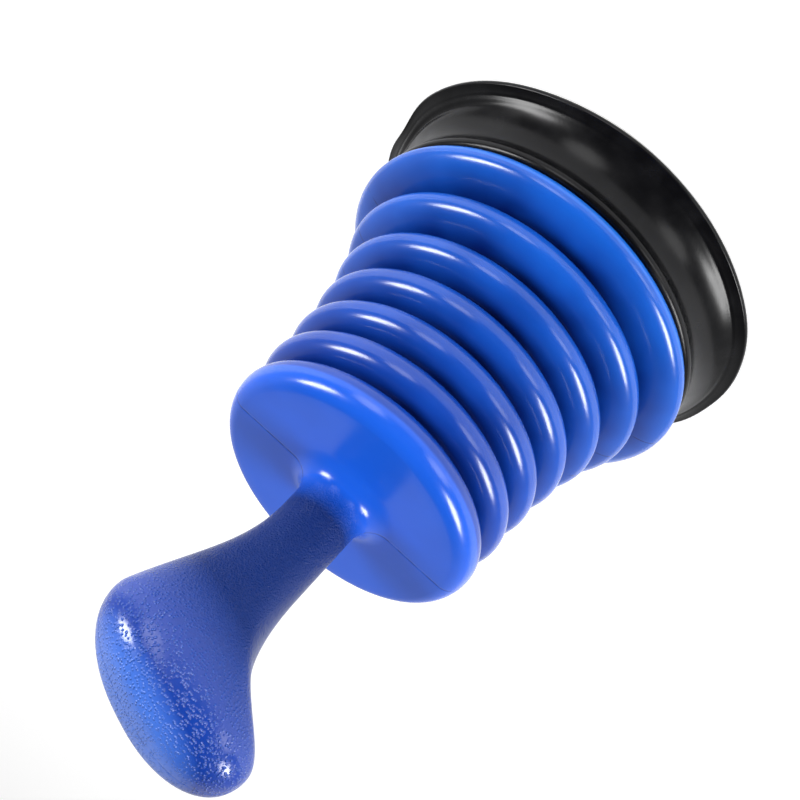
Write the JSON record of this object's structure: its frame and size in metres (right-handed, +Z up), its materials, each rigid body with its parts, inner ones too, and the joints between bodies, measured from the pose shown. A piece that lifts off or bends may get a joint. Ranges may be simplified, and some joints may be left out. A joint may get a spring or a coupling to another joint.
{
  "type": "accordion sink plunger",
  "caption": "Hand plunger with a slanted T-grip, a hollow corrugated body that squeezes along its axis, and a flared rubber suction cup.",
  "frame": {"origin": "centre of the rubber cup's lip, on the surface that the plunger stands on", "axes": "+Z up the bellows' axis towards the handle; the grip runs along X with its higher arm at -X; Y is square to the mould's parting plane"},
  "size_m": [0.128, 0.128, 0.2096],
  "materials": {
    "blue_plastic": "glossy blow-moulded polyethylene",
    "grained_plastic": "the same polyethylene, with a fine moulded grain on the neck and the grip",
    "black_rubber": "smooth, slightly glossy moulded rubber"
  },
  "bodies": {
    "cup": {"suction_cup": "black_rubber", "base_collar": "blue_plastic"},
    "fold_5": {"pleat_5": "blue_plastic"},
    "fold_4": {"pleat_4": "blue_plastic"},
    "fold_3": {"pleat_3": "blue_plastic"},
    "fold_2": {"pleat_2": "blue_plastic"},
    "fold_1": {"pleat_1": "blue_plastic"},
    "handle": {"t_handle": "grained_plastic"}
  },
  "joints": [
    {"name": "bellows_squeeze", "type": "slide", "parent": "cup", "child": "handle", "axis": [0, 0, -1], "range_m": [0, 0.036], "stiffness_N_per_m": 900},
    {"name": "fold_1_slide", "type": "slide", "parent": "cup", "child": "fold_1", "axis": [0, 0, -1], "range_m": [0, 0.0324], "deforming": ["pleat_1"]},
    {"name": "fold_2_slide", "type": "slide", "parent": "cup", "child": "fold_2", "axis": [0, 0, -1], "range_m": [0, 0.0252], "deforming": ["pleat_2"]},
    {"name": "fold_3_slide", "type": "slide", "parent": "cup", "child": "fold_3", "axis": [0, 0, -1], "range_m": [0, 0.018], "deforming": ["pleat_3"]},
    {"name": "fold_4_slide", "type": "slide", "parent": "cup", "child": "fold_4", "axis": [0, 0, -1], "range_m": [0, 0.0108], "deforming": ["pleat_4"]},
    {"name": "fold_5_slide", "type": "slide", "parent": "cup", "child": "fold_5", "axis": [0, 0, -1], "range_m": [0, 0.0036], "deforming": ["pleat_5"]}
  ],
  "couplings": [
    {"joint": "fold_1_slide", "follows": "bellows_squeeze", "ratio": 0.9},
    {"joint": "fold_2_slide", "follows": "bellows_squeeze", "ratio": 0.7},
    {"joint": "fold_3_slide", "follows": "bellows_squeeze", "ratio": 0.5},
    {"joint": "fold_4_slide", "follows": "bellows_squeeze", "ratio": 0.3},
    {"joint": "fold_5_slide", "follows": "bellows_squeeze", "ratio": 0.1}
  ]
}
